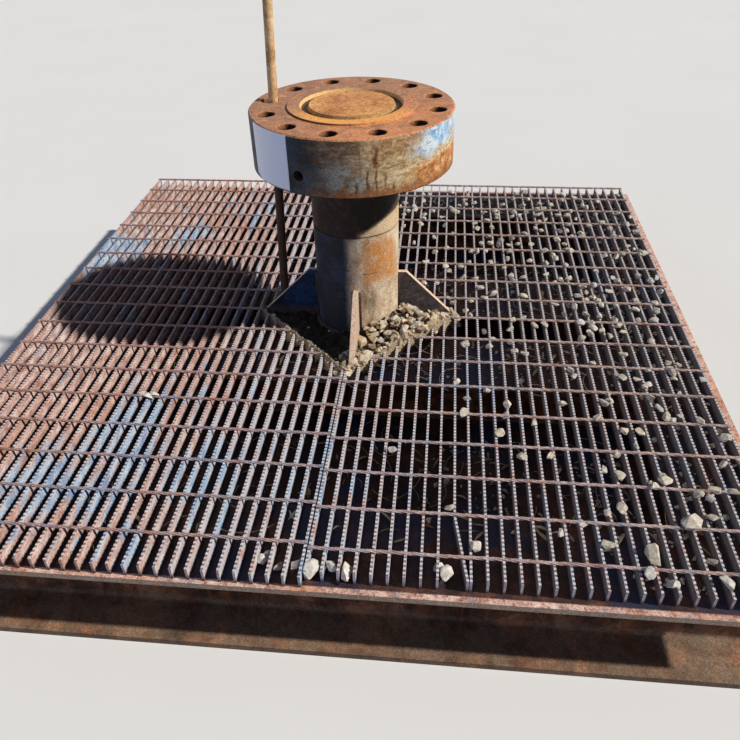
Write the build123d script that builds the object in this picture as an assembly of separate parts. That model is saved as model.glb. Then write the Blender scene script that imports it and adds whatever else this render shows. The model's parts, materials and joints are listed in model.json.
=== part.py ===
from build123d import *

import os
from math import cos, floor, radians, sin, sqrt

os.makedirs("parts", exist_ok=True)

# A pressure test stump on a grated platform: a thick blind flange on a welded pipe post,
# gusseted to a square base plate that stands corner-on over the middle of a beam frame.
# Millimetres, +Z up, +Y away from the front edge. The origin is on the ground, under the
# middle of the frame.

# Frame of wide-flange beams
FRAME_WIDTH = 1828.8
FRAME_DEPTH = 1828.8
BEAM_DEPTH = 209.6
BEAM_FLANGE_WIDTH = 205.0
BEAM_FLANGE = 14.2
BEAM_WEB = 9.1
BEAM_ROOT = 10.0

# Drip pan sheets that lie on the beams' bottom flanges
PAN_SHEET = 5.0
PAN_EDGE_GAP = 2.0

# Bar grating
BAR_PITCH = 30.163
BAR_THICKNESS = 4.76
BAR_HEIGHT = 31.75
CROSS_ROD_PITCH = 101.6
CROSS_ROD_WIDTH = 6.35
CROSS_ROD_HEIGHT = 5.0
SEAM_SPACING = 8.6
SIDE_SETBACK = 30.0
LEFT_FRONT_SETBACK = 7.0
LEFT_FIRST_ROD = 78.0
RIGHT_FRONT_SETBACK = 22.0
RIGHT_FIRST_ROD = 52.0
LAST_ROD_TO_END = 4.5
CROSS_ROD_OVERHANG = 2.0

# One bearing bar of the right panel is knocked sideways at its front end
BENT_BAR_INDEX = 9
BENT_BAR_SHIFT = 24.0

# Stump post. It stands a little off the frame's middle, and the cut-out round its base plate
# lies a little to the left of it.
STUMP_FORWARD = 13.6
STUMP_RIGHT = 8.0
CUTOUT_SHIFT = 5.0
CUTOUT_CLEARANCE = 7.0
BASE_PLATE = 25.4
BASE_PLATE_MARGIN = 7.5
PIPE_OD = 219.1
PIPE_WALL = 12.7
PIPE_LENGTH = 286.6
NECK_LENGTH = 157.8
NECK_WALL = 30.0
GIRTH_WELD_GAP = 3.2
GIRTH_WELD_RECESS = 3.0
FILLET_WELD = 10.0
UPPER_FILLET_WELD = 8.0

# Gussets: a flat top, a 45 degree edge down to a low nose, and the inner corner snipped for
# the weld. The front one is set a little to the right of the pipe's middle.
GUSSET_LEG = 152.4
GUSSET_NOSE = 10.0
GUSSET_FLAT = 22.0
GUSSET_THICKNESS = 12.7
GUSSET_SNIPE = 14.0
FRONT_GUSSET_SHIFT = 8.0

# Test flange
FLANGE_OD = 479.4
FLANGE_THICKNESS = 133.4
FLANGE_EDGE_BEVEL = 3.0
RAISED_FACE_OD = 301.8
RAISED_FACE = 4.0
GROOVE_OD = 241.8
GROOVE_WIDTH = 21.5
GROOVE_DEPTH = 11.1
GROOVE_WALL_ANGLE = 23.0
BOLT_CIRCLE = 403.4
BOLT_HOLE = 41.3
BOLT_COUNT = 12
BOLT_PHASE = 22.0
BOLT_HOLE_BEVEL = 1.5

# Test port in the flange's side, between two bolt holes
PORT_THREAD_OD = 26.4
PORT_THREAD_DEPTH = 26.0
PORT_DRILL = 12.7
PORT_DEPTH = 130.0
PORT_BELOW_TOP = 91.0
PORT_GAP_INDEX = 7.5

# Loose bar that leans in one bolt hole and stands on the base plate
BAR_OD = 22.2
BAR_TALL = 1016.0
BAR_HOLE_INDEX = 5
BAR_HOLE_CLEARANCE = 0.35
BAR_LEAN_OUT = 22.0
BAR_LEAN_FRONT = 8.0

# Worked-out places
PLATE_TOP = BEAM_DEPTH + BASE_PLATE
PIPE_RADIUS = PIPE_OD / 2
PLATE_HALF_DIAGONAL = PIPE_RADIUS + GUSSET_LEG + BASE_PLATE_MARGIN
CUTOUT_HALF_DIAGONAL = PLATE_HALF_DIAGONAL + CUTOUT_CLEARANCE
CUTOUT_X = STUMP_RIGHT - CUTOUT_SHIFT
CUTOUT_Y = -STUMP_FORWARD
PIPE_TOP = PLATE_TOP + PIPE_LENGTH - GIRTH_WELD_GAP / 2
NECK_BOTTOM = PIPE_TOP + GIRTH_WELD_GAP
FLANGE_BOTTOM = PLATE_TOP + PIPE_LENGTH + NECK_LENGTH
FLANGE_TOP = FLANGE_BOTTOM + FLANGE_THICKNESS
GRATING_TOP = BEAM_DEPTH + BAR_HEIGHT
BEAM_HALF_GAP = (BEAM_FLANGE_WIDTH - BEAM_WEB) / 2
CARRIER_OFFSET = PLATE_HALF_DIAGONAL - BEAM_FLANGE_WIDTH / 2
JOIST_FRONT = -STUMP_FORWARD - CARRIER_OFFSET
JOIST_BACK = -STUMP_FORWARD + CARRIER_OFFSET
STRINGER_LEFT = STUMP_RIGHT - CARRIER_OFFSET
STRINGER_RIGHT = STUMP_RIGHT + CARRIER_OFFSET
STUMP = Pos(STUMP_RIGHT, -STUMP_FORWARD, 0)


def save(shape, node):
    shape.label = node
    export_step(shape, f"parts/{node}.step")


# A beam along X with its bottom flange on the ground. Its flanges stop at the flange tips
# of the beams that carry it, and a coped tongue of its web runs on to their webs.
def beam(length, tongue):
    top = Pos(0, BEAM_DEPTH - BEAM_FLANGE / 2) * Rectangle(BEAM_FLANGE_WIDTH, BEAM_FLANGE)
    bottom = Pos(0, BEAM_FLANGE / 2) * Rectangle(BEAM_FLANGE_WIDTH, BEAM_FLANGE)
    web = Pos(0, BEAM_DEPTH / 2) * Rectangle(BEAM_WEB, BEAM_DEPTH)
    section = top + bottom + web
    inner = [v for v in section.vertices() if abs(abs(v.X) - BEAM_WEB / 2) < 0.01]
    section = fillet(inner, BEAM_ROOT)
    solid = extrude(Plane.YZ * section, length / 2, both=True)
    if tongue > 0:
        height = BEAM_DEPTH - 2 * (BEAM_FLANGE + BEAM_ROOT)
        solid += Pos(0, 0, BEAM_DEPTH / 2) * Box(length + 2 * tongue, BEAM_WEB, height)
    return solid


def frame():
    edge_y = (FRAME_DEPTH - BEAM_FLANGE_WIDTH) / 2
    edge_x = (FRAME_WIDTH - BEAM_FLANGE_WIDTH) / 2
    between_x = FRAME_WIDTH - 2 * BEAM_FLANGE_WIDTH
    between_y = FRAME_DEPTH - 2 * BEAM_FLANGE_WIDTH
    save(Pos(0, -edge_y, 0) * beam(FRAME_WIDTH, 0), "front_beam")
    save(Pos(0, edge_y, 0) * beam(FRAME_WIDTH, 0), "back_beam")
    side = Rot(0, 0, 90) * beam(between_y, BEAM_HALF_GAP)
    save(Pos(-edge_x, 0, 0) * side, "left_beam")
    save(Pos(edge_x, 0, 0) * side, "right_beam")
    joist = beam(between_x, BEAM_HALF_GAP)
    save(Pos(0, JOIST_FRONT, 0) * joist, "front_joist")
    save(Pos(0, JOIST_BACK, 0) * joist, "back_joist")
    between_joists = JOIST_BACK - JOIST_FRONT - BEAM_FLANGE_WIDTH
    stringer = Rot(0, 0, 90) * beam(between_joists, BEAM_HALF_GAP)
    save(Pos(STRINGER_LEFT, -STUMP_FORWARD, 0) * stringer, "left_stringer")
    save(Pos(STRINGER_RIGHT, -STUMP_FORWARD, 0) * stringer, "right_stringer")


# A pan sheet between four beam centre lines, clear of their webs and root fillets
def pan_sheet(x0, x1, y0, y1):
    keep_off = BEAM_WEB / 2 + BEAM_ROOT + PAN_EDGE_GAP
    size_x = x1 - x0 - 2 * keep_off
    size_y = y1 - y0 - 2 * keep_off
    sheet = Box(size_x, size_y, PAN_SHEET)
    return Pos((x0 + x1) / 2, (y0 + y1) / 2, BEAM_FLANGE + PAN_SHEET / 2) * sheet


def pans():
    edge_y = (FRAME_DEPTH - BEAM_FLANGE_WIDTH) / 2
    edge_x = (FRAME_WIDTH - BEAM_FLANGE_WIDTH) / 2
    save(pan_sheet(-edge_x, edge_x, -edge_y, JOIST_FRONT), "front_pan")
    save(pan_sheet(-edge_x, edge_x, JOIST_BACK, edge_y), "back_pan")
    save(pan_sheet(-edge_x, STRINGER_LEFT, JOIST_FRONT, JOIST_BACK), "left_pan")
    save(pan_sheet(STRINGER_RIGHT, edge_x, JOIST_FRONT, JOIST_BACK), "right_pan")


# The stretches of a straight bar or rod whose square ends stay outside the corner-on square
# cut-out. across is how far it runs from the cut-out's centre line.
def outside_cutout(start, end, centre, across, width):
    half = CUTOUT_HALF_DIAGONAL - abs(across) + width / 2
    if half <= 0 or centre - half >= end or centre + half <= start:
        return [(start, end)]
    pieces = [(start, centre - half), (centre + half, end)]
    return [(a, b) for a, b in pieces if b - a > BAR_THICKNESS]


# Cross rods lie on the bars. The last one is at the bars' back ends.
def cross_rods(rod_ys, x0, x1):
    rods = []
    z = GRATING_TOP + CROSS_ROD_HEIGHT / 2
    for y in rod_ys:
        for a, b in outside_cutout(x0, x1, CUTOUT_X, y - CUTOUT_Y, CROSS_ROD_WIDTH):
            rod = Box(b - a, CROSS_ROD_WIDTH, CROSS_ROD_HEIGHT)
            rods.append(Pos((a + b) / 2, y, z) * rod)
    return rods


# A bar whose front end is knocked sideways from the second cross rod on
def bent_bar(x, y0, y1, bend_y):
    left = x - BAR_THICKNESS / 2
    right = x + BAR_THICKNESS / 2
    outline = Polyline(
        (left, y1),
        (left, bend_y),
        (left + BENT_BAR_SHIFT, y0),
        (right + BENT_BAR_SHIFT, y0),
        (right, bend_y),
        (right, y1),
        close=True,
    )
    return Pos(0, 0, BEAM_DEPTH) * extrude(make_face(outline), BAR_HEIGHT)


# Bearing bars at the places bar_xs. The one with the number bent is bent from bend_y on.
def bearing_bars(bar_xs, y0, y1, bent, bend_y):
    bars = []
    for number, x in enumerate(bar_xs):
        for a, b in outside_cutout(y0, y1, CUTOUT_Y, x - CUTOUT_X, BAR_THICKNESS):
            if number == bent and a == y0:
                bars.append(bent_bar(x, a, b, bend_y))
            else:
                bar = Box(BAR_THICKNESS, b - a, BAR_HEIGHT)
                bars.append(Pos(x, (a + b) / 2, BEAM_DEPTH + BAR_HEIGHT / 2) * bar)
    return bars


# side is -1 for the left panel and +1 for the right one
def grating_panel(side, name, front_setback, first_rod, bent):
    reach = FRAME_WIDTH / 2 - SIDE_SETBACK - SEAM_SPACING / 2
    count = floor(reach / BAR_PITCH) + 1
    front = -FRAME_DEPTH / 2 + front_setback
    room = FRAME_DEPTH - front_setback - BEAM_FLANGE_WIDTH / 2 - first_rod
    spaces = floor(room / CROSS_ROD_PITCH) + 1
    rod_ys = [front + first_rod + i * CROSS_ROD_PITCH for i in range(spaces + 1)]
    back = rod_ys[-1] + LAST_ROD_TO_END
    xs = [side * (SEAM_SPACING / 2 + i * BAR_PITCH) for i in range(count)]
    bars = bearing_bars(xs, front, back, bent, rod_ys[1])
    seam_end = xs[0] - side * BAR_THICKNESS / 2
    outer_end = xs[-1] + side * (BAR_THICKNESS / 2 + CROSS_ROD_OVERHANG)
    rods = cross_rods(rod_ys, min(seam_end, outer_end), max(seam_end, outer_end))
    save(Compound(bars), f"{name}_bearing_bars")
    save(Compound(rods), f"{name}_cross_rods")


def gratings():
    grating_panel(-1, "left", LEFT_FRONT_SETBACK, LEFT_FIRST_ROD, None)
    grating_panel(1, "right", RIGHT_FRONT_SETBACK, RIGHT_FIRST_ROD, BENT_BAR_INDEX)


def ring(profile):
    return STUMP * revolve(Plane.XZ * profile, Axis.Z)


def tube(outer_radius, wall, bottom, top):
    inner_radius = outer_radius - wall
    height = top - bottom
    middle = (outer_radius + inner_radius) / 2
    return ring(Pos(middle, (bottom + top) / 2) * Rectangle(wall, height))


def post():
    side = PLATE_HALF_DIAGONAL * sqrt(2)
    plate = Pos(0, 0, BEAM_DEPTH + BASE_PLATE / 2) * Rot(0, 0, 45) * Box(side, side, BASE_PLATE)
    save(STUMP * plate, "base_plate")
    save(tube(PIPE_RADIUS, PIPE_WALL, PLATE_TOP, PIPE_TOP), "pipe")
    save(tube(PIPE_RADIUS, NECK_WALL, NECK_BOTTOM, FLANGE_BOTTOM), "neck")
    base_fillet = Polyline(
        (PIPE_RADIUS, PLATE_TOP),
        (PIPE_RADIUS + FILLET_WELD, PLATE_TOP),
        (PIPE_RADIUS, PLATE_TOP + FILLET_WELD),
        close=True,
    )
    save(ring(make_face(base_fillet)), "base_weld")
    upper_fillet = Polyline(
        (PIPE_RADIUS, FLANGE_BOTTOM),
        (PIPE_RADIUS + UPPER_FILLET_WELD, FLANGE_BOTTOM),
        (PIPE_RADIUS, FLANGE_BOTTOM - UPPER_FILLET_WELD),
        close=True,
    )
    save(ring(make_face(upper_fillet)), "upper_weld")
    weld_radius = PIPE_RADIUS - GIRTH_WELD_RECESS
    weld_wall = PIPE_WALL - GIRTH_WELD_RECESS
    save(tube(weld_radius, weld_wall, PIPE_TOP, NECK_BOTTOM), "girth_weld")


def gussets():
    height = GUSSET_NOSE + GUSSET_LEG - GUSSET_FLAT
    outline = Polyline(
        (GUSSET_SNIPE, 0),
        (GUSSET_LEG, 0),
        (GUSSET_LEG, GUSSET_NOSE),
        (GUSSET_FLAT, height),
        (0, height),
        (0, GUSSET_SNIPE),
        close=True,
    )
    plate = extrude(Plane.XZ * make_face(outline), GUSSET_THICKNESS / 2, both=True)
    seated = Pos(PIPE_RADIUS, 0, PLATE_TOP) * plate
    for turn, name in enumerate(("right", "back", "left")):
        save(STUMP * Rot(0, 0, 90 * turn) * seated, f"{name}_gusset")
    front = Pos(FRONT_GUSSET_SHIFT, 0, 0) * Rot(0, 0, -90) * seated
    save(STUMP * front, "front_gusset")


# Half section of the flange: edge bevels, raised face, and a ring groove whose walls lean
# by the gasket's angle around the plain middle of the face
def flange_profile():
    outer = FLANGE_OD / 2
    edge = FLANGE_EDGE_BEVEL
    shoulder = FLANGE_TOP - RAISED_FACE
    lean = GROOVE_DEPTH * sin(radians(GROOVE_WALL_ANGLE)) / cos(radians(GROOVE_WALL_ANGLE))
    groove_out = GROOVE_OD / 2
    groove_in = groove_out - GROOVE_WIDTH
    floor_z = FLANGE_TOP - GROOVE_DEPTH
    return make_face(
        Polyline(
            (0, FLANGE_BOTTOM),
            (outer - edge, FLANGE_BOTTOM),
            (outer, FLANGE_BOTTOM + edge),
            (outer, shoulder - edge),
            (outer - edge, shoulder),
            (RAISED_FACE_OD / 2, shoulder),
            (RAISED_FACE_OD / 2, FLANGE_TOP),
            (groove_out, FLANGE_TOP),
            (groove_out - lean, floor_z),
            (groove_in + lean, floor_z),
            (groove_in, FLANGE_TOP),
            (0, FLANGE_TOP),
            close=True,
        )
    )


def bolt_hole_place(number):
    angle = radians(BOLT_PHASE + number * 360 / BOLT_COUNT)
    return BOLT_CIRCLE / 2 * cos(angle), BOLT_CIRCLE / 2 * sin(angle)


def flange():
    body = revolve(Plane.XZ * flange_profile(), Axis.Z)
    shoulder = FLANGE_TOP - RAISED_FACE
    radius = BOLT_HOLE / 2
    wide = radius + BOLT_HOLE_BEVEL
    middle = (FLANGE_BOTTOM + shoulder) / 2
    hole = Cylinder(radius, shoulder - FLANGE_BOTTOM + 2 * BOLT_HOLE_BEVEL)
    bevel_z = (shoulder - FLANGE_BOTTOM) / 2 - BOLT_HOLE_BEVEL / 2
    hole += Pos(0, 0, bevel_z) * Cone(radius, wide, BOLT_HOLE_BEVEL)
    hole += Pos(0, 0, -bevel_z) * Cone(wide, radius, BOLT_HOLE_BEVEL)
    holes = []
    for number in range(BOLT_COUNT):
        x, y = bolt_hole_place(number)
        holes.append(Pos(x, y, middle) * hole)
    port_angle = BOLT_PHASE + (PORT_GAP_INDEX * 360) / BOLT_COUNT
    thread = Cylinder(PORT_THREAD_OD / 2, PORT_THREAD_DEPTH * 2)
    drill = Cylinder(PORT_DRILL / 2, PORT_DEPTH * 2)
    port = Pos(FLANGE_OD / 2, 0, FLANGE_TOP - PORT_BELOW_TOP) * Rot(0, 90, 0) * (thread + drill)
    save(STUMP * (body - holes - Rot(0, 0, port_angle) * port), "test_flange")


# The bar touches the hole's wall at the flange's top edge and leans out towards its foot
def leaning_bar():
    x, y = bolt_hole_place(BAR_HOLE_INDEX)
    reach = sqrt(x * x + y * y)
    shift = (BOLT_HOLE - BAR_OD) / 2 - BAR_HOLE_CLEARANCE
    shoulder = FLANGE_TOP - RAISED_FACE
    top_x = x - x / reach * shift
    top_y = y - y / reach * shift
    foot_x = top_x + x / reach * BAR_LEAN_OUT
    foot_y = top_y - BAR_LEAN_FRONT
    lean = Vector(top_x - foot_x, top_y - foot_y, shoulder - PLATE_TOP)
    foot = Pos(foot_x, foot_y, PLATE_TOP) * Circle(BAR_OD / 2)
    save(STUMP * extrude(foot, BAR_TALL, dir=lean), "leaning_bar")


frame()
pans()
gratings()
post()
gussets()
flange()
leaning_bar()
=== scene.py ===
import json
from math import atan2, ceil, cos, floor, hypot, pi, radians, sin, sqrt, tau
from random import Random

import bmesh
import bpy
import numpy as np
from mathutils import Euler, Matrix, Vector, noise


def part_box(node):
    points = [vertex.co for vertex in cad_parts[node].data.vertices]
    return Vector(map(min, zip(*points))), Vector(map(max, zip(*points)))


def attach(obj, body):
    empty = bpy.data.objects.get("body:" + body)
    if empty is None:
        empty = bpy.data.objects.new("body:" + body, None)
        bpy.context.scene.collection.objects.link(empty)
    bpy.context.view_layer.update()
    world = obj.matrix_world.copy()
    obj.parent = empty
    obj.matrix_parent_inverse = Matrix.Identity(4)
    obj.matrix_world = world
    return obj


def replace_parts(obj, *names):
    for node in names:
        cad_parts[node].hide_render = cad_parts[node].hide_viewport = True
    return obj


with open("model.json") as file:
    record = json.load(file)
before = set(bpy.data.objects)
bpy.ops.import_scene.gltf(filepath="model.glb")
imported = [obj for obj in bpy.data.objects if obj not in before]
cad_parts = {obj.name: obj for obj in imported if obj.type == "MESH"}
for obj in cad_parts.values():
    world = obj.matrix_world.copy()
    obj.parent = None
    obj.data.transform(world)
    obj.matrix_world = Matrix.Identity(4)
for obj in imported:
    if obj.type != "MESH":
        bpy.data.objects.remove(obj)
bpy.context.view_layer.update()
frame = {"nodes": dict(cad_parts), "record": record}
NODES = frame["nodes"]
MM = 0.001


def span(node, axis):
    """A node's lowest and highest place along an axis."""
    low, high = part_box(node)
    return low[axis], high[axis]


# Places read from the frame, in metres
PLATE_LOW, PLATE_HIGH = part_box("base_plate")
PIPE_LOW, PIPE_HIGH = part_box("pipe")
FLANGE_LOW, FLANGE_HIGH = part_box("test_flange")
BAR_LOW, BAR_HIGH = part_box("left_bearing_bars")
STUMP_X = (PLATE_LOW.x + PLATE_HIGH.x) / 2
STUMP_Y = (PLATE_LOW.y + PLATE_HIGH.y) / 2
PLATE_TOP = PLATE_HIGH.z
PLATE_REACH = (PLATE_HIGH.x - PLATE_LOW.x) / 2
PIPE_RADIUS = (PIPE_HIGH.x - PIPE_LOW.x) / 2
NECK_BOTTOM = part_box("neck")[0].z
FLANGE_RADIUS = (FLANGE_HIGH.x - FLANGE_LOW.x) / 2
FLANGE_TOP = FLANGE_HIGH.z
FLANGE_BOTTOM = FLANGE_LOW.z
SHOULDER = FLANGE_TOP - 4 * MM
GRATING_TOP = BAR_HIGH.z
GRATING_END = BAR_HIGH.y
GRATING_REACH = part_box("right_bearing_bars")[1].x
BEAM_TOP = BAR_LOW.z
FRAME_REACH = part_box("front_beam")[1].x
PAN_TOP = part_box("front_pan")[1].z
JOIST_SPANS = [span(node, 1) for node in ("front_beam", "back_beam", "front_joist", "back_joist")]
SIDE_SPANS = [span(node, 0) for node in ("left_beam", "right_beam")]

# Camera at the photograph's viewing angle
CAMERA_PLACE = (0.22496, -1.68993, 1.31153)
CAMERA_TURN = (52.950, 1.224, 5.572)
CAMERA_LENS = 34.629
SENSOR_WIDTH = 36.0

# Key light and soft fill: azimuth and elevation as seen from the stump, spread, strength and colour
LAMPS = (("key", -6.0, 40.5, 2.0, 3.85, (255, 250, 242)),
         ("fill", -138.0, 8.0, 50.0, 0.58, (190, 208, 255)))
AIR_STRENGTH = 0.15

# Grating details. A serration's shape is its places along the pitch, each with its share of the depth.
# The bars' tones go from 0 to BAR_TONES
BAR_THICKNESS = 4.76 * MM
SERRATION_PITCH = 10.16 * MM
SERRATION_SHAPE = ((0.0, 0.0), (0.40, 0.0), (0.50, 0.62), (0.63, 1.0), (0.77, 1.0), (0.90, 0.62))
SERRATION_DEPTH = 2.0 * MM
SERRATION_MARGIN = 0.6 * MM
BAR_BOW = 0.5 * MM
BAR_TONES = 0.96
ROD_CORNER = 3.5 * MM
ROD_FLAT = 3.0 * MM
ROD_TWIST = 84.0 * MM
ROD_STEP = 4.0 * MM
ROD_SUNK = 1.6 * MM
ROD_WAVE = 0.4 * MM
GRATING_SEED = 19

# Cut-out in the grating
CUTOUT_X = STUMP_X - 5 * MM
CUTOUT_REACH = PLATE_REACH + 7 * MM

# Weld beads along the gussets, from past their snipped corners, and round the pipe. Ripples are the
# radians from section to section, and roughness is the random share of a bead's size
BEAD_SIDES = 6
GUSSET_BEAD = 6 * MM
BEAD_STEP = 2 * MM
FOOT_BEAD_LENGTH = 131 * MM
BEAD_START = 14 * MM
BEAD_END_GAP = 4 * MM
GUSSET_RIPPLE = 1.9
GUSSET_ROUGH = 0.06
RING_BEAD_STEPS = 360
RING_RIPPLE = 1.1
RING_ROUGH = 0.05
RING_SUNK = 0.2 * MM
WELD_SEED = 7

# Side port of the flange. The thread's pitch is a little coarse, so that its turns show
PORT_ANGLE = -113.0
PORT_BELOW_TOP = 91.0 * MM
PORT_RADIUS = 13.2 * MM
PORT_THREAD = 26.0 * MM
PORT_PITCH = 1.81 * MM * 1.3
PORT_STEPS = 40
PORT_PROFILE = ((0.1 * MM, -0.42), (-1.6 * MM, -0.12), (-1.6 * MM, 0.12), (0.1 * MM, 0.42))

# Blank label on the flange's side: its angles, height, drop below the shoulder and how far it stands off,
# how far its corner curls and its lower edge flares
LABEL_FROM = -149.2
LABEL_TO = -119.0
LABEL_TALL = 0.1235
LABEL_DROP = 1.5 * MM
LABEL_THICKNESS = 0.25 * MM
LABEL_OFF = 0.6 * MM
LABEL_CURL = 10 * MM
LABEL_FLARE = 8 * MM
LABEL_CELLS = 44

# Rust runs on the flange's side: angle, upper and lower height above its underside, half width in degrees
RUST_RUNS = ((-71.6, 0.112, 0.070, 1.0), (-71.2, 0.066, 0.012, 0.6), (-76.0, 0.062, 0.008, 0.7),
             (-66.5, 0.050, 0.020, 0.4), (-81.5, 0.034, 0.004, 1.0), (-62.0, 0.030, 0.004, 0.6))

# Scratches on the pipe: middle angle and height, half length in degrees, slant in mm a degree
SCRATCHES = ((-128.0, 0.452, 14.0, -1.03), (-103.0, 0.433, 11.0, -0.38), (-66.0, 0.420, 12.0, -0.10),
             (-120.0, 0.350, 8.0, 0.4))

# Caked soil: how far it runs under the bars' ends and how ragged its rim is, the heap's place from the
# cut-out's middle, and the bank against the pipe, with its angle in degrees
SOIL_CELLS = 180
SOIL_OVERLAP = 0.012
SOIL_RAGGED = 0.012
HEAP_X = 0.135
HEAP_Y = -0.075
HEAP_REACH = 0.15
HEAP_HEIGHT = 30 * MM
BANK_ANGLE = -35
BANK_REACH = 0.06
BANK_HEIGHT = 16 * MM

# Stones and clods. Shapes are how many, their corners and their wear, and sizes are half lengths in mm.
# To the left of SPARSE_LEFT_OF they are few and small. On the bars the big ones rest, others are caught
FINE_SHAPES = (16, 11, 0.0)
COARSE_SHAPES = (14, 15, 0.045)
STONE_TILT = 0.4
GRIT_TRIES = 1000
SPARSE_LEFT_OF = 0.04
SPARSE_SHARE = 0.12
CLOD_SHARE = 0.6
GRIT_SIZES = (3, 4, 5, 6, 8, 10, 12, 14, 17)
CRUST_COUNT = 520
CRUST_SIZES = (2.5, 3, 4, 5, 7)
SCATTER_TRIES = 3400
SCATTER_SIZES = (3, 3, 4, 4, 5, 5, 6, 7, 8, 9, 10, 12, 14)
COARSE_FROM = 10 * MM
CAUGHT_FROM = 11 * MM
ON_TOP_FROM = 13 * MM
STONE_SEED = 41

# Stones and leaves in known places: x, y and half length in metres
FRONT_STONES = ((0.014, -0.880, 0.019), (0.034, -0.868, 0.009), (0.050, -0.866, 0.015),
                (0.080, -0.880, 0.017), (-0.016, -0.866, 0.014), (0.262, -0.866, 0.015),
                (0.248, -0.850, 0.011), (-0.051, -0.872, 0.010), (-0.082, -0.858, 0.012),
                (-0.078, -0.842, 0.008))
TOP_STONES = ((0.316, -0.817, 0.013), (0.637, -0.813, 0.023), (0.7265, -0.730, 0.025),
              (0.560, -0.793, 0.016), (0.749, -0.866, 0.018), (0.656, -0.872, 0.016),
              (0.60, -0.70, 0.015), (0.70, -0.62, 0.018))
TOP_LEAVES = ((-0.459, -0.426, 0.016), (-0.444, -0.421, 0.013), (-0.470, -0.418, 0.011))

# Leaves and stalks under the grating
LEAF_COUNT = 700
LEAF_ROWS = 6
STALK_COUNT = 240
STALK_STEPS = 10
STALK_SIDES = 5
STALK_RADIUS = 0.8 * MM
LITTER_SEED = 77

# Blue paint left on the grating: x, y times the stretch, radius and strength
PAINT_STRETCH = 0.7
PAINT_SPOTS = ((-0.58, -0.49, 0.11, 1.0), (-0.45, -0.46, 0.12, 1.0), (-0.46, -0.34, 0.07, 1.0),
               (-0.26, -0.46, 0.12, 0.9), (-0.36, -0.60, 0.05, 1.0), (-0.07, -0.44, 0.11, 0.6),
               (-0.86, 0.23, 0.10, 1.0), (-0.62, 0.31, 0.07, 0.9), (-0.40, 0.42, 0.11, 0.6),
               (0.32, -0.20, 0.12, 0.6), (0.62, 0.24, 0.15, 0.6), (0.20, 0.46, 0.12, 0.6))

# Studio
FLOOR_REACH = 14.0
FLOOR_Z = -1 * MM
LAMP_DISTANCE = 6


def srgb(red, green, blue):
    """A colour written as it is seen, 0 to 255, turned to the renderer's linear values."""
    linear = []
    for value in (red, green, blue):
        share = value / 255
        linear.append(share / 12.92 if share <= 0.04045 else ((share + 0.055) / 1.055) ** 2.4)
    return (*linear, 1.0)


# Meshes

class Builder:
    """Collects points and faces for one piece, with a tone for each point."""

    def __init__(self):
        self.points = []
        self.faces = []
        self.tones = []

    def add(self, points, faces, tone=0.0):
        first = len(self.points)
        self.points.extend(points)
        self.faces.extend([tuple(first + i for i in face) for face in faces])
        self.tones.extend([tone] * len(points))

    def loft(self, rings, tone=0.0, closed=False):
        """Quads between rings of points. The last ring joins the first, or else each end gets a face."""
        count = len(rings[0])
        faces = []
        for row in range(len(rings) if closed else len(rings) - 1):
            a, b = row * count, (row + 1) % len(rings) * count
            for i in range(count):
                j = (i + 1) % count
                faces.append((a + i, a + j, b + j, b + i))
        if not closed:
            last = (len(rings) - 1) * count
            faces.append(tuple(reversed(range(count))))
            faces.append(tuple(last + i for i in range(count)))
        self.add([point for ring in rings for point in ring], faces, tone)

    def piece(self, name, slot, material=None, smooth=False):
        """The finished piece. Its material has the slot's name unless another is given."""
        mesh = bpy.data.meshes.new(name)
        mesh.from_pydata(self.points, [], self.faces)
        tone = mesh.attributes.new("tone", "FLOAT", "POINT")
        tone.data.foreach_set("value", self.tones)
        if smooth:
            mesh.polygons.foreach_set("use_smooth", [True] * len(mesh.polygons))
        mesh.update()
        piece = bpy.data.objects.new(name, mesh)
        bpy.context.scene.collection.objects.link(piece)
        mesh.materials.append(MATERIALS[material or slot])
        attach(piece, "root")
        return piece


def solids(node):
    """The separate solids of a node's mesh: the points of each, welded."""
    mesh = NODES[node].data
    keys = [tuple(round(c, 6) for c in v.co) for v in mesh.vertices]
    owner = {key: key for key in keys}

    def root(key):
        while owner[key] != key:
            owner[key] = owner[owner[key]]
            key = owner[key]
        return key

    for polygon in mesh.polygons:
        first = root(keys[polygon.vertices[0]])
        for index in polygon.vertices[1:]:
            owner[root(keys[index])] = first
    groups = {}
    for key in owner:
        groups.setdefault(root(key), []).append(key)
    return sorted(groups.values(), key=lambda points: (min(points)[0], min(p[1] for p in points)))


def grid(cells):
    """The faces of a square grid of points, and its rim, from the first point all the way round."""
    width = cells + 1
    faces = []
    for row in range(cells):
        for a in range(row * width, row * width + cells):
            faces.append((a, a + 1, a + width + 1, a + width))
    rim = list(range(width))
    rim += [row * width + cells for row in range(1, cells + 1)]
    rim += [cells * width + column for column in range(cells - 1, -1, -1)]
    rim += [row * width for row in range(cells - 1, 0, -1)]
    return faces, rim


def round_stump(angle, radius, z):
    """The point at an angle round the stump's axis."""
    return STUMP_X + radius * cos(angle), STUMP_Y + radius * sin(angle), z


def beside(out, along, across, z):
    """The point that lies along the way out from the stump's axis, and across it to the left."""
    return STUMP_X + out[0] * along - out[1] * across, STUMP_Y + out[1] * along + out[0] * across, z


# Materials. Colours are written as they are seen, 0 to 255

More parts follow.
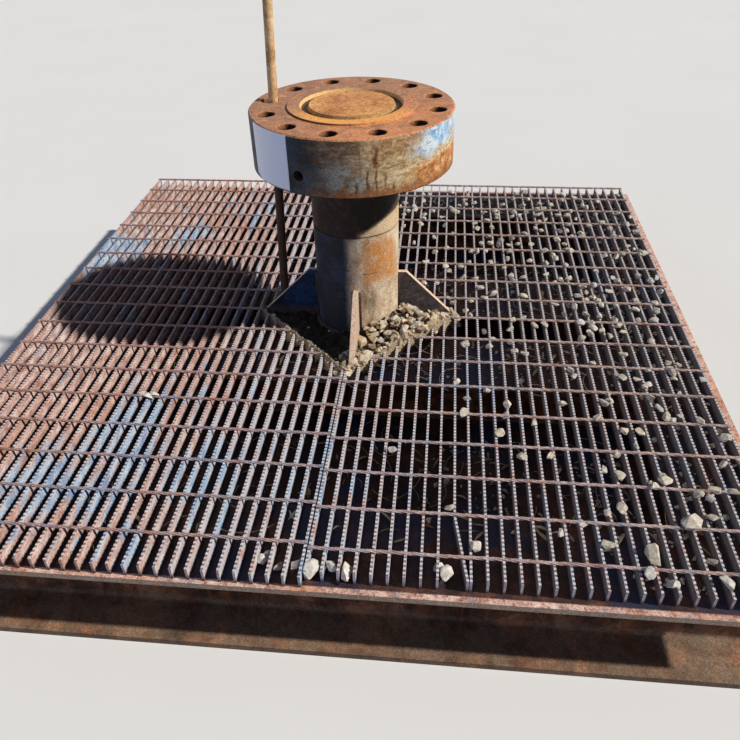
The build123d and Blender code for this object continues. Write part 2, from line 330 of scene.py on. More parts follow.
class Nodes:
    """Short calls for the nodes of a tree."""

    def __init__(self, tree):
        self.tree = tree

    def node(self, kind, **settings):
        node = self.tree.nodes.new(kind)
        for key, value in settings.items():
            setattr(node, key, value)
        return node

    def put(self, socket, value):
        """Links another node's output to a socket, or sets it to a number or a colour."""
        if isinstance(value, bpy.types.NodeSocket):
            self.tree.links.new(value, socket)
        elif isinstance(value, tuple):
            socket.default_value = srgb(*value)
        else:
            socket.default_value = value

    def math(self, operation, *values):
        node = self.node("ShaderNodeMath", operation=operation)
        for socket, value in zip(node.inputs, values):
            self.put(socket, value)
        return node.outputs[0]

    def times(self, product, *factors):
        for factor in factors:
            product = self.math("MULTIPLY", product, factor)
        return product

    def plus(self, a, b):
        return self.math("ADD", a, b)

    def minus(self, a, b):
        return self.math("SUBTRACT", a, b)

    def abs(self, value):
        return self.math("ABSOLUTE", value)

    def seen_directly(self):
        """1 for the camera, for mirrors and through glass, 0 for light that bounces."""
        path = self.node("ShaderNodeLightPath").outputs
        other = self.math("MAXIMUM", path["Is Glossy Ray"], path["Is Transmission Ray"])
        return self.math("MAXIMUM", path["Is Camera Ray"], other)


class Shader(Nodes):
    """One procedural material in the object's own coordinates. Settings are what noise() takes."""

    def __init__(self, name, roughness, gloss=0.18):
        self.material = bpy.data.materials.new(name)
        self.material.use_nodes = True
        super().__init__(self.material.node_tree)
        self.surface = self.tree.nodes["Principled BSDF"]
        self.surface.inputs["Roughness"].default_value = roughness
        self.surface.inputs["Specular IOR Level"].default_value = gloss
        self.place = self.node("ShaderNodeTexCoord").outputs["Object"]

    def stretch(self, x, y, z):
        """The object's coordinates scaled along each axis."""
        node = self.node("ShaderNodeMapping")
        self.put(node.inputs["Vector"], self.place)
        node.inputs["Scale"].default_value = (x, y, z)
        return node.outputs[0]

    def noise(self, scale, detail=4.0, roughness=0.55, distortion=0.0, vector=None):
        node = self.node("ShaderNodeTexNoise")
        self.put(node.inputs["Vector"], self.place if vector is None else vector)
        node.inputs["Scale"].default_value = scale
        node.inputs["Detail"].default_value = detail
        node.inputs["Roughness"].default_value = roughness
        node.inputs["Distortion"].default_value = distortion
        return node.outputs["Fac"]

    def window(self, value, low, high):
        """0 below low, 1 above high, smooth between. low may be the higher of the two."""
        node = self.node("ShaderNodeMapRange", interpolation_type="SMOOTHSTEP")
        self.put(node.inputs["Value"], value)
        if low <= high:
            limits = (low, high, 0.0, 1.0)
        else:
            limits = (high, low, 1.0, 0.0)
        for name, limit in zip(("From Min", "From Max", "To Min", "To Max"), limits):
            node.inputs[name].default_value = limit
        return node.outputs["Result"]

    def band(self, value, low, high, soft):
        """1 from low to high, falling off over soft on both sides."""
        rise = self.window(value, low - soft, low + soft)
        return self.times(rise, self.window(value, high + soft, high - soft))

    def patches(self, low, high, *settings):
        """Patches of noise: 0 where the noise is below low, 1 where it is above high."""
        return self.window(self.noise(*settings), low, high)

    def sway(self, amount, *settings):
        """Noise about 0, as wide as the amount."""
        return self.times(self.minus(self.noise(*settings), 0.5), amount)

    def mix(self, factor, a, b, blend="MIX"):
        node = self.node("ShaderNodeMix", data_type="RGBA", blend_type=blend, clamp_factor=True)
        for index, value in ((0, factor), (6, a), (7, b)):
            self.put(node.inputs[index], value)
        return node.outputs[2]

    def over(self, color, coat, *shares):
        """A coat laid over a colour, as thick as the product of the shares."""
        return self.mix(self.times(*shares), color, coat)

    def mottle(self, a, b, *settings):
        """Two colours mixed by noise."""
        return self.mix(self.noise(*settings), a, b)

    def ramp(self, value, *stops):
        """A colour ramp. Each stop is a place from 0 to 1 and a colour."""
        node = self.node("ShaderNodeValToRGB")
        self.put(node.inputs[0], value)
        elements = node.color_ramp.elements
        while len(elements) < len(stops):
            elements.new(0.5)
        for element, (place, color) in zip(elements, stops):
            element.position = place
            element.color = srgb(*color)
        return node.outputs[0]

    def attribute(self, name):
        return self.node("ShaderNodeAttribute", attribute_name=name).outputs["Fac"]

    def axes(self, vector=None):
        """The three parts of a vector, or of the place."""
        node = self.node("ShaderNodeSeparateXYZ")
        self.put(node.inputs[0], self.place if vector is None else vector)
        return node.outputs

    def spots(self, vector, places):
        """1 in the middle of the places, each given as x, y, radius and strength, and 0 away from them."""
        total = 0.0
        for x, y, radius, strength in places:
            away = self.node("ShaderNodeVectorMath", operation="DISTANCE")
            self.put(away.inputs[0], vector)
            away.inputs[1].default_value = (x, y, 0.0)
            spot = self.times(self.window(away.outputs["Value"], radius * 1.4, radius * 0.3), strength)
            total = self.math("MAXIMUM", total, spot)
        return total

    def around_stump(self):
        """Angle in degrees round the stump's axis, distance from it, and height."""
        x, y, z = self.axes()
        x = self.minus(x, STUMP_X)
        y = self.minus(y, STUMP_Y)
        angle = self.times(self.math("ARCTAN2", y, x), 180 / pi)
        square = self.plus(self.times(x, x), self.times(y, y))
        return angle, self.math("SQRT", square), z

    def facing(self):
        """The surface normal's parts along X, Y and Z."""
        return self.axes(self.node("ShaderNodeNewGeometry").outputs["Normal"])

    def edges(self, radius):
        """1 on edges and 0 on open faces, and the normal that rounds the edges."""
        bevel = self.node("ShaderNodeBevel", samples=4)
        bevel.inputs["Radius"].default_value = radius
        dot = self.node("ShaderNodeVectorMath", operation="DOT_PRODUCT")
        self.put(dot.inputs[0], bevel.outputs[0])
        self.put(dot.inputs[1], self.node("ShaderNodeNewGeometry").outputs["Normal"])
        return self.window(dot.outputs["Value"], 0.985, 0.80), bevel.outputs[0]

    def rust(self, dark, middle, bright, scale=1.0):
        """Layered rust: broad stains, a mottle and a fine grain. Gives colour and height."""
        broad = self.noise(9.0 * scale, 5.0, 0.6, 0.4)
        mottle = self.noise(46.0 * scale, 6.0, 0.66, 0.3)
        grain = self.noise(320.0 * scale, 3.0, 0.6)
        blend = self.plus(self.times(broad, 0.5), self.times(mottle, 0.5))
        color = self.ramp(blend, (0.36, dark), (0.50, middle), (0.63, bright))
        color = self.over(color, dark, self.window(grain, 0.60, 0.72), 0.55)
        return color, self.plus(self.times(mottle, 0.7), self.times(grain, 0.3))

    def grain(self, color, amount, scale):
        """Fine light and dark specks laid over a colour."""
        return self.mix(amount, color, self.patches(0.34, 0.66, scale, 4.0, 0.75), "OVERLAY")

    def finish(self, color, height, bump, distance=0.6 * MM, roughness=None, rounded=None):
        """The finished material, from its colour, its relief and what else it has."""
        self.put(self.surface.inputs["Base Color"], color)
        if roughness is not None:
            self.put(self.surface.inputs["Roughness"], roughness)
        node = self.node("ShaderNodeBump")
        node.inputs["Strength"].default_value = bump
        node.inputs["Distance"].default_value = distance
        self.put(node.inputs["Height"], height)
        if rounded is not None:
            self.put(node.inputs["Normal"], rounded)
        self.put(self.surface.inputs["Normal"], node.outputs[0])
        return self.material


def flange_top(s, turned, radius, z, upward):
    """The turned faces: brown-grey at the back and the left, orange at the front and the right."""
    rust, relief = s.rust((140, 92, 66), (194, 134, 98), (216, 152, 108))
    warm = s.band(turned, -110.0, 20.0, 30.0)
    top = s.over(rust, (222, 148, 96), warm, 0.5)
    top = s.over(top, (152, 116, 92), s.minus(1.0, warm), 0.55)
    top = s.over(top, (140, 102, 82), s.patches(0.50, 0.64, 21.0, 6.0, 0.68, 0.3), 0.65)
    top = s.over(top, (238, 172, 128), s.patches(0.56, 0.66, 34.0, 6.0, 0.72, 0.5), 0.5)
    nicks = s.patches(0.66, 0.70, 70.0, 3.0, 0.6, 0.4, s.stretch(1.0, 4.0, 1.0))
    top = s.over(top, (246, 214, 182), nicks, 0.6)
    front = s.times(s.band(turned, -150.0, -30.0, 24.0), s.window(radius, 0.156, 0.146))
    top = s.over(top, (252, 178, 94), front, 0.8)
    # The plain middle is golden, and so is the groove's outer wall
    golden, _ = s.rust((158, 98, 54), (212, 150, 90), (244, 184, 112), 1.6)
    top = s.mix(s.window(radius, 0.1235, 0.119), top, golden)
    browner = s.times(s.window(radius, 0.112, 0.095), s.patches(0.42, 0.60, 17.0, 5.0))
    top = s.over(top, (186, 124, 84), browner, 0.45)
    wall = s.window(upward, 0.95, 0.75)
    top = s.over(top, (242, 204, 142), wall, s.band(radius, 0.100, 0.1225, 1 * MM), 0.7)
    top = s.over(top, (150, 112, 52), wall, s.window(radius, 0.111, 0.109), 0.6)
    # Dark dirt on the groove's floor, deepened as painted shade in the recess
    groove_dirt_and_shade = s.times(s.window(z, FLANGE_TOP - 6 * MM, FLANGE_TOP - 9 * MM), s.window(radius, 0.123, 0.121))
    top = s.over(top, (40, 26, 18), groove_dirt_and_shade, 0.95)
    # Painted shadow of the raised face's step, on its left away from the key light
    step_shadow = s.times(s.band(radius, 0.1500, 0.1532, 0.5 * MM), s.window(turned, -70.0, -120.0))
    top = s.over(top, (64, 38, 28), step_shadow, 0.8)
    return s.over(top, (92, 54, 36), s.patches(0.62, 0.69, 110.0, 3.0, 0.6), 0.7), relief


def flange_side(s, angle, turned, height):
    """The flange's side, from the dark left, which is painted shade, to the pale right."""
    # The dark mottle on the left is painted shade on the side away from the key light
    dark = s.mottle((20, 21, 24), (42, 40, 40), 26.0, 5.0, 0.6)
    teal = s.times(s.band(turned, -116.0, -94.0, 8.0), s.window(height, 0.085, 0.05))
    dark = s.over(dark, (86, 96, 104), teal, 0.75)
    smeared = s.noise(30.0, 6.0, 0.72, 0.6, s.stretch(1.0, 1.0, 2.2))
    brown = s.ramp(smeared, (0.36, (88, 70, 54)), (0.50, (132, 110, 86)), (0.62, (176, 154, 122)))
    side = s.mix(s.window(turned, -110.0, -94.0), dark, brown)
    olive = s.ramp(smeared, (0.34, (150, 108, 68)), (0.48, (196, 166, 120)), (0.62, (228, 206, 162)))
    side = s.mix(s.window(turned, -88.0, -72.0), side, olive)
    paint_noise = s.noise(24.0, 6.0, 0.68, 0.5)
    grey_green = s.times(s.band(turned, -97.0, -77.0, 6.0), s.window(height, 0.095, 0.060))
    pale_green = s.mottle((138, 148, 146), (190, 192, 180), 70.0)
    side = s.over(side, pale_green, grey_green, s.window(paint_noise, 0.38, 0.54), 0.75)
    smudge = s.times(s.band(turned, -72.0, -46.0, 8.0), s.window(height, 0.070, 0.105))
    side = s.over(side, (170, 116, 74), smudge, s.patches(0.40, 0.56, 38.0, 5.0, 0.65), 0.7)
    # Orange rust low on the right, a cream scuff above it, and blue paint above that
    slope = s.plus(height, s.sway(0.08, 16.0, 5.0, 0.65))
    slope = s.minus(slope, s.times(s.plus(angle, 50.0), 0.00045))
    orange = s.ramp(s.noise(36.0, 6.0, 0.7, 0.4), (0.36, (142, 80, 38)), (0.50, (206, 144, 88)),
                    (0.62, (240, 194, 138)))
    side = s.over(side, orange, s.band(turned, -54.0, 24.0, 9.0), s.window(slope, 0.062, 0.040))
    scuff = s.times(s.band(slope, 0.040, 0.056, 7 * MM), s.band(turned, -74.0, 10.0, 8.0))
    worn = s.patches(0.42, 0.56, 44.0, 5.0, 0.7, 0.2, s.stretch(1.0, 1.0, 4.0))
    side = s.over(side, (240, 222, 184), scuff, worn, 0.75)
    blue = s.mix(s.patches(0.40, 0.58, 46.0, 5.0, 0.65), (150, 198, 240), (228, 240, 246))
    painted = s.times(s.band(turned, -44.0, 24.0, 9.0), s.window(slope, 0.048, 0.078))
    side = s.over(side, blue, painted, s.window(paint_noise, 0.31, 0.47))
    behind = s.times(s.window(s.abs(turned), 96.0, 150.0), s.window(paint_noise, 0.42, 0.54))
    side = s.over(side, (92, 114, 136), behind, 0.6)
    scratch = s.patches(0.59, 0.63, 30.0, 4.0, 0.6, 0.3, s.stretch(1.0, 1.0, 5.0))
    side = s.over(side, (124, 76, 46), scratch, 0.5)
    # Rust runs down the side, and the lower rim is orange-brown
    runs = s.patches(0.60, 0.68, 58.0, 3.0, 0.55, 0.2, s.stretch(1.0, 1.0, 0.05))
    side = s.over(side, (140, 82, 46), runs, s.window(turned, -100.0, -80.0), 0.4)
    bent = s.plus(angle, s.sway(4.0, 40.0, 2.0))
    for place, upper, lower, wide in RUST_RUNS:
        run = s.band(bent, place - wide, place + wide, 0.7)
        side = s.over(side, (104, 50, 26), run, s.band(height, lower, upper, 8 * MM), 0.9)
    rim_height = s.plus(height, s.sway(0.05, 26.0, 5.0, 0.65))
    rim = s.times(s.window(rim_height, 0.030, 0.008), s.window(turned, -116.0, -90.0))
    return s.over(side, s.mottle((84, 44, 26), (196, 124, 70), 60.0, 5.0, 0.7), rim, 0.85)


def flange_steel():
    s = Shader("flange_steel", 0.62)
    angle, radius, z = s.around_stump()
    to_right, _, upward = s.facing()
    edge, rounded = s.edges(1.6 * MM)
    turned = s.plus(angle, s.sway(44.0, 11.0, 4.0))
    top, relief = flange_top(s, turned, radius, z, upward)
    side = flange_side(s, angle, turned, s.minus(z, FLANGE_BOTTOM))
    outer = s.window(radius, FLANGE_RADIUS - 3 * MM, FLANGE_RADIUS - 2 * MM)
    color = s.over(top, side, outer, s.window(upward, 0.75, 0.45))
    # Inside the bolt holes: painted shade, near black deep down and on the walls that face away from the key
    # light, with a painted lit band of rust on the upper walls that face it
    hole = s.times(s.band(radius, 0.160, 0.2355, 0.5 * MM), s.window(s.abs(upward), 0.6, 0.3))
    hole_shade = s.mottle((16, 11, 10), (34, 23, 19), 80.0)
    lit_mouth = s.times(s.window(z, FLANGE_TOP - 24 * MM, FLANGE_TOP - 5 * MM), s.window(to_right, -0.2, 0.55))
    color = s.mix(hole, color, s.mix(lit_mouth, hole_shade, (184, 126, 88)))
    # The side port's inside is painted shade as well
    port = s.times(s.window(z, FLANGE_TOP - 60 * MM, FLANGE_TOP - 66 * MM),
                   s.window(radius, FLANGE_RADIUS - 1.5 * MM, FLANGE_RADIUS - 2.5 * MM))
    color = s.mix(port, color, hole_shade)
    color = s.over(color, (240, 196, 156), edge, 0.5)
    # Faces that look down are darkened as painted shade
    color = s.mix(s.window(upward, -0.4, -0.7), color, (46, 34, 29))
    color = s.grain(color, 0.36, 210.0)
    rough = s.plus(s.times(s.noise(30.0), 0.3), 0.45)
    return s.finish(color, relief, 0.5, 0.7 * MM, rough, rounded)


def post_steel():
    s = Shader("post_steel", 0.6)
    angle, radius, z = s.around_stump()
    edge, rounded = s.edges(1.2 * MM)
    wobble = s.sway(36.0, 11.0, 4.0)
    turned = s.plus(angle, wobble)
    steady = s.math("MULTIPLY_ADD", wobble, 0.35, angle)
    cream, relief = s.rust((168, 144, 118), (216, 194, 164), (246, 232, 206), 1.3)
    drawn = s.patches(0.5, 0.66, 95.0, 4.0, 0.6, 0.0, s.stretch(1.0, 1.0, 0.16))
    cream = s.over(cream, (230, 208, 180), drawn, 0.35)
    # Blue-grey painted shade on the left, reaching round to the key light's terminator; cream on the front
    # right, brown at the back
    painted_shade = s.mottle((24, 26, 34), (48, 49, 58), 30.0, 5.0, 0.6)
    painted_shade = s.over(painted_shade, (60, 72, 92), s.patches(0.46, 0.60, 14.0, 4.0), 0.5)
    tan = s.ramp(s.noise(26.0, 6.0, 0.7, 0.3, s.stretch(1.0, 1.0, 0.5)), (0.36, (142, 122, 100)),
                 (0.50, (194, 173, 147)), (0.62, (228, 210, 185)))
    color = s.mix(s.window(turned, -62.0, -46.0), tan, cream)
    color = s.mix(s.band(steady, -190.0, -95.0, 7.0), color, painted_shade)
    brown = s.mottle((86, 68, 56), (140, 112, 88), 24.0, 5.0)
    color = s.over(color, brown, s.window(turned, 45.0, 80.0), 0.85)
    # Orange bloom on the front right, below a cream band at the seam
    orange = s.mottle((176, 104, 50), (228, 166, 98), 80.0, 5.0, 0.7)
    rise = s.plus(z, s.sway(0.07, 20.0, 4.0, 0.6))
    bloom = s.times(s.band(turned, -74.0, -20.0, 14.0), s.band(rise, 0.384, 0.512, 22 * MM))
    color = s.over(color, orange, bloom, s.patches(0.28, 0.54, 30.0, 6.0, 0.7), 0.95)
    streaks = s.patches(0.54, 0.68, 40.0, 4.0, 0.6, 0.2, s.stretch(1.0, 1.0, 0.2))
    color = s.over(color, (196, 142, 92), s.band(turned, -80.0, 10.0, 15.0), streaks, 0.35)
    # The neck above the seam is dark brown as painted shadow of the flange, with a painted lit patch on its
    # right below a slanted shadow edge
    neck, _ = s.rust((24, 20, 19), (44, 35, 32), (86, 58, 46), 1.2)
    shadow_edge_height = s.minus(z, s.times(s.plus(turned, 84.0), 0.9 * MM))
    right = s.times(s.band(turned, -80.0, 34.0, 9.0),
                    s.window(shadow_edge_height, NECK_BOTTOM + 14 * MM, NECK_BOTTOM - 6 * MM))
    neck = s.mix(right, neck, s.mottle((192, 162, 124), (244, 218, 178), 34.0, 5.0))
    color = s.mix(s.window(z, NECK_BOTTOM - 1 * MM, NECK_BOTTOM + 1 * MM), color, neck)
    # The seam is a dark joint, drawn darker on the shaded left as painted shade
    seam = s.abs(s.minus(z, NECK_BOTTOM - 1.6 * MM))
    seam_dark_and_shade = s.math("MULTIPLY_ADD", s.window(turned, -88.0, -72.0), -0.5, 0.75)
    color = s.over(color, (40, 30, 26), s.window(seam, 5 * MM, 1.5 * MM), seam_dark_and_shade)
    # Soil stain at the foot
    foot_z = s.minus(z, s.times(s.noise(30.0, 4.0), 0.05))
    foot = s.times(s.window(foot_z, PLATE_TOP + 0.03, PLATE_TOP - 0.01), s.window(steady, -106.0, -84.0))
    color = s.over(color, (150, 128, 102), foot, 0.65)
    ragged = s.sway(9 * MM, 50.0)
    for centre_angle, centre_z, half, slant in SCRATCHES:
        away = s.minus(angle, centre_angle)
        line = s.plus(s.minus(z, s.plus(centre_z, s.times(away, slant * MM))), ragged)
        thin = s.window(s.abs(line), 1.5 * MM, 0.6 * MM)
        color = s.over(color, (34, 28, 28), thin, s.window(s.abs(away), half, half * 0.8), 0.75)
    plate, _ = s.rust((52, 40, 34), (96, 70, 54), (140, 100, 70))
    color = s.mix(s.window(radius, PIPE_RADIUS + 4 * MM, PIPE_RADIUS + 6 * MM), color, plate)
    color = s.over(color, (190, 150, 112), edge, 0.25)
    color = s.grain(color, 0.42, 300.0)
    return s.finish(color, relief, 0.4, rounded=rounded)


def weld_bead():
    s = Shader("weld_bead", 0.55)
    color, height = s.rust((50, 38, 33), (88, 66, 54), (136, 104, 80), 1.6)
    low = s.window(s.axes()[2], PLATE_TOP + 0.14, PLATE_TOP + 0.04)
    return s.finish(s.over(color, (27, 24, 23), low, 0.92), height, 0.5)


def port_steel():
    s = Shader("port_steel", 0.5)
    color = s.mottle((26, 24, 24), (58, 52, 50), 60.0, 4.0)
    return s.finish(color, s.noise(200.0, 3.0), 0.3)


def gusset_plate():
    s = Shader("gusset_plate", 0.58)
    x, y, z = s.axes()
    to_right, to_back, _ = s.facing()
    edge, rounded = s.edges(1.8 * MM)
    # Dark navy: blue paint, darkened as painted shade
    paint = s.mix(s.patches(0.36, 0.64, 22.0, 5.0, 0.62), (8, 18, 36), (30, 58, 98))
    rust, height = s.rust((58, 54, 55), (94, 88, 88), (136, 124, 117), 1.3)
    peeled = s.times(s.patches(0.56, 0.64, 34.0, 6.0, 0.7, 0.4), s.window(y, -0.03, 0.03))
    right = s.window(x, STUMP_X + 0.05, STUMP_X + 0.10)
    color = s.mix(s.math("MAXIMUM", peeled, right), paint, rust)
    # Cut edges are bare: the sloped and top edges, and the thin outer edge
    on_front = s.window(s.abs(s.minus(x, STUMP_X)), 0.03, 0.02)
    broad = s.plus(s.times(s.abs(to_back), s.minus(1.0, on_front)), s.times(s.abs(to_right), on_front))
    bare = s.mottle((200, 156, 122), (250, 228, 202), 90.0, 5.0, 0.6)
    color = s.mix(s.window(broad, 0.6, 0.4), color, bare)
    free = s.window(s.around_stump()[1], PIPE_RADIUS + 8 * MM, PIPE_RADIUS + 14 * MM)
    color = s.over(color, (220, 190, 162), edge, free, 0.8)
    # The front gusset's face toward the key light is made bare and pale as painted light; its other face
    # keeps the dark paint
    color = s.over(color, bare, on_front, s.window(to_right, 0.3, 0.8), 0.8)
    soiled = s.window(z, PLATE_TOP + 0.035, PLATE_TOP + 0.005)
    color = s.over(color, (110, 92, 74), soiled, 0.5)
    color = s.grain(color, 0.45, 220.0)
    return s.finish(color, height, 0.4, rounded=rounded)


def grating_color(s, tone):
    """Dusty pink rust with pale blue paint left on it, in streaks that run along the bars."""
    x, y, _ = s.axes()
    along = s.stretch(1.0, 0.35, 1.0)
    shift = s.node("ShaderNodeCombineXYZ")
    s.put(shift.inputs[2], s.times(tone, 40.0))
    moved = s.node("ShaderNodeVectorMath", operation="ADD")
    s.put(moved.inputs[0], s.stretch(1.0, 0.30, 1.0))
    s.put(moved.inputs[1], shift.outputs[0])
    wear = s.plus(s.noise(22.0, 5.0, 0.62, 0.3, moved.outputs[0]), s.sway(0.45, 4.0, 4.0, 0.6, 0.6))
    spots = s.spots(s.stretch(1.0, PAINT_STRETCH, 0.0), PAINT_SPOTS)
    wear = s.plus(wear, s.times(spots, 0.21))
    rust = s.ramp(s.noise(70.0, 6.0, 0.7, 0.2, along), (0.34, (156, 110, 98)), (0.50, (210, 174, 162)),
                  (0.64, (240, 220, 211)))
    brown = s.ramp(s.noise(50.0, 5.0, 0.65), (0.36, (160, 106, 86)), (0.64, (228, 178, 156)))
    brownish = s.plus(s.noise(5.0, 4.0, 0.6, 0.4), s.times(tone, 0.10))
    rust = s.over(rust, brown, s.window(brownish, 0.52, 0.66), 0.75)
    bleached = s.times(s.window(x, -0.46, -0.12), s.patches(0.34, 0.54, 26.0, 5.0, 0.65))
    rust = s.over(rust, (206, 210, 219), bleached, 0.82)
    blue = s.ramp(s.noise(60.0, 5.0, 0.65, 0.0, along), (0.36, (112, 158, 206)), (0.50, (164, 200, 230)),
                  (0.64, (216, 228, 234)))
    chips = s.patches(0.48, 0.60, 150.0, 5.0, 0.72)
    paint = s.times(s.window(wear, 0.55, 0.70), s.minus(0.95, s.times(chips, 0.6)))
    color = s.mix(paint, rust, blue)
    # Dust on the right and the back
    lain = s.plus(s.plus(x, s.times(y, 0.45)), s.sway(0.4, 7.0, 4.0))
    dusty = s.times(s.window(lain, 0.16, 0.46), s.patches(0.40, 0.60, 60.0, 5.0, 0.7))
    return s.over(color, (184, 168, 144), dusty, 0.55), paint


def grating_steel():
    s = Shader("grating_steel", 0.6)
    color, paint = grating_color(s, s.attribute("tone"))
    z = s.axes()[2]
    to_right, _, upward = s.facing()
    # Walked-on tops are bare and pale; the notches hold dark dirt, deepened as painted shade
    top = s.window(z, GRATING_TOP - 0.5 * MM, GRATING_TOP - 0.2 * MM)
    color = s.over(color, (230, 221, 222), top, 0.4)
    notch_dirt_and_shade = s.band(z, GRATING_TOP - SERRATION_DEPTH - 0.1 * MM, GRATING_TOP - 1.1 * MM, 0.3 * MM)
    color = s.over(color, (60, 46, 46), notch_dirt_and_shade, s.window(upward, 0.3, 0.6), 0.8)
    # The lower part of each bar is darkened as painted shade between the bars
    color = s.over(color, (50, 37, 35), s.window(z, BEAM_TOP + 17 * MM, BEAM_TOP + 2 * MM), 0.85)
    # The bars' sides that face away from the key light are darkened as painted shade
    color = s.over(color, (40, 42, 56), s.window(to_right, -0.4, -0.8), 0.75)
    color = s.grain(color, 0.5, 380.0)
    rough = s.minus(0.68, s.times(paint, 0.18))
    return s.finish(color, s.noise(160.0, 5.0, 0.65), 0.35, 0.5 * MM, rough)


def rod_steel():
    s = Shader("rod_steel", 0.6)
    color, _ = grating_color(s, 0.4)
    core = s.mottle((108, 64, 54), (168, 122, 106), 34.0, 5.0)
    pale = s.mix(s.patches(0.36, 0.64, 34.0, 5.0, 0.65), (132, 78, 58), (196, 156, 134))
    core = s.mix(s.window(s.axes()[0], -0.05, 0.25), core, pale)
    # The corners keep the paler grating colour as a painted highlight, the faces between get the darker core
    corner = s.window(s.attribute("tone"), 0.45, 0.95)
    color = s.over(color, core, s.minus(1.0, corner), 0.8)
    color = s.grain(color, 0.4, 260.0)
    return s.finish(color, s.noise(260.0, 4.0, 0.65), 0.3, 0.4 * MM)


def frame_steel():
    s = Shader("frame_steel", 0.66)
    x, y, z = s.axes()
    edge, rounded = s.edges(2.0 * MM)
    rust, relief = s.rust((152, 106, 90), (218, 178, 160), (248, 218, 202), 1.6)
    rust = s.over(rust, (206, 142, 104), s.patches(0.50, 0.62, 7.0, 4.0, 0.6), 0.55)
    rust = s.over(rust, (160, 158, 164), s.patches(0.54, 0.64, 16.0, 5.0, 0.65, 0.5), 0.5)
    rust = s.over(rust, (134, 74, 62), s.patches(0.50, 0.60, 80.0, 5.0, 0.75), 0.65)
    rust = s.over(rust, (250, 224, 206), s.patches(0.58, 0.66, 60.0, 5.0, 0.7, 0.2), 0.6)
    # Under the grating the flanges are dark: dirt, and painted shade of the bars above
    out_x = s.window(s.abs(x), GRATING_REACH - 2 * MM, GRATING_REACH + 2 * MM)
    out_y = s.window(s.abs(y), GRATING_END - 2 * MM, GRATING_END + 2 * MM)
    dark = s.ramp(s.noise(22.0, 6.0, 0.68), (0.38, (40, 30, 30)), (0.52, (66, 44, 40)), (0.64, (98, 66, 54)))
    dark = s.over(dark, (36, 48, 78), s.patches(0.46, 0.56, 5.0, 4.0, 0.6, 0.3), 0.6)
    top = s.mix(s.math("MAXIMUM", out_x, out_y), dark, rust)
    web = s.ramp(s.noise(9.0, 8.0, 0.70, 0.6), (0.38, (58, 40, 34)), (0.50, (112, 76, 58)),
                 (0.60, (172, 120, 88)))
    drips = s.patches(0.52, 0.62, 34.0, 4.0, 0.6, 0.2, s.stretch(1.0, 1.0, 0.10))
    web = s.over(web, (150, 88, 52), drips, 0.55)
    upper = s.window(z, BEAM_TOP - 0.022, BEAM_TOP - 0.016)
    color = s.mix(upper, web, top)
    # The top flanges have a grey-brown lip, and mud has splashed up the bottom flanges
    lip = s.times(upper, s.window(s.abs(s.facing()[2]), 0.7, 0.4))
    color = s.over(color, s.mottle((138, 112, 92), (226, 204, 176), 36.0, 5.0, 0.65), lip, 0.8)
    color = s.over(color, (214, 170, 142), edge, upper, 0.5)
    splash = s.minus(z, s.times(s.noise(12.0, 6.0, 0.72), 0.12))
    mud = s.mottle((96, 80, 66), (170, 150, 124), 60.0, 5.0, 0.7)
    color = s.over(color, mud, s.window(splash, -0.020, -0.060), 0.65)
    color = s.grain(color, 0.42, 330.0)
    return s.finish(color, relief, 0.5, 0.8 * MM, rounded=rounded)


def pan_sheet():
    s = Shader("pan_sheet", 0.7)
    color = s.ramp(s.noise(7.0, 5.0, 0.6, 0.4), (0.38, (38, 36, 46)), (0.50, (62, 46, 48)),
                   (0.62, (92, 62, 52)))
    color = s.over(color, (42, 58, 92), s.patches(0.52, 0.60, 4.0, 4.0, 0.6, 0.3), 0.75)
    color = s.over(color, (102, 86, 70), s.patches(0.54, 0.66, 26.0, 5.0, 0.7), 0.6)
    return s.finish(color, s.noise(90.0, 5.0, 0.7), 0.5, 1.0 * MM)


def bar_steel():
    s = Shader("bar_steel", 0.6)
    rust, height = s.rust((140, 104, 72), (216, 178, 128), (250, 222, 174), 2.0)
    below = s.mottle((48, 38, 36), (92, 68, 56), 40.0, 5.0)
    color = s.mix(s.window(s.axes()[2], FLANGE_BOTTOM, FLANGE_TOP), below, rust)
    return s.finish(color, height, 0.5)


def label_paper():
    s = Shader("label_paper", 0.45, gloss=1.0)
    s.surface.inputs["Coat Weight"].default_value = 1.0
    s.surface.inputs["Coat Roughness"].default_value = 0.35
    s.surface.inputs["Coat IOR"].default_value = 1.8
    color = s.mottle((212, 227, 255), (226, 237, 255), 20.0, 4.0, 0.55)
    color = s.over(color, (186, 172, 156), s.patches(0.62, 0.76, 46.0, 5.0, 0.7, 0.4), 0.22)
    return s.finish(color, s.noise(30.0, 3.0), 0.2, 0.5 * MM)


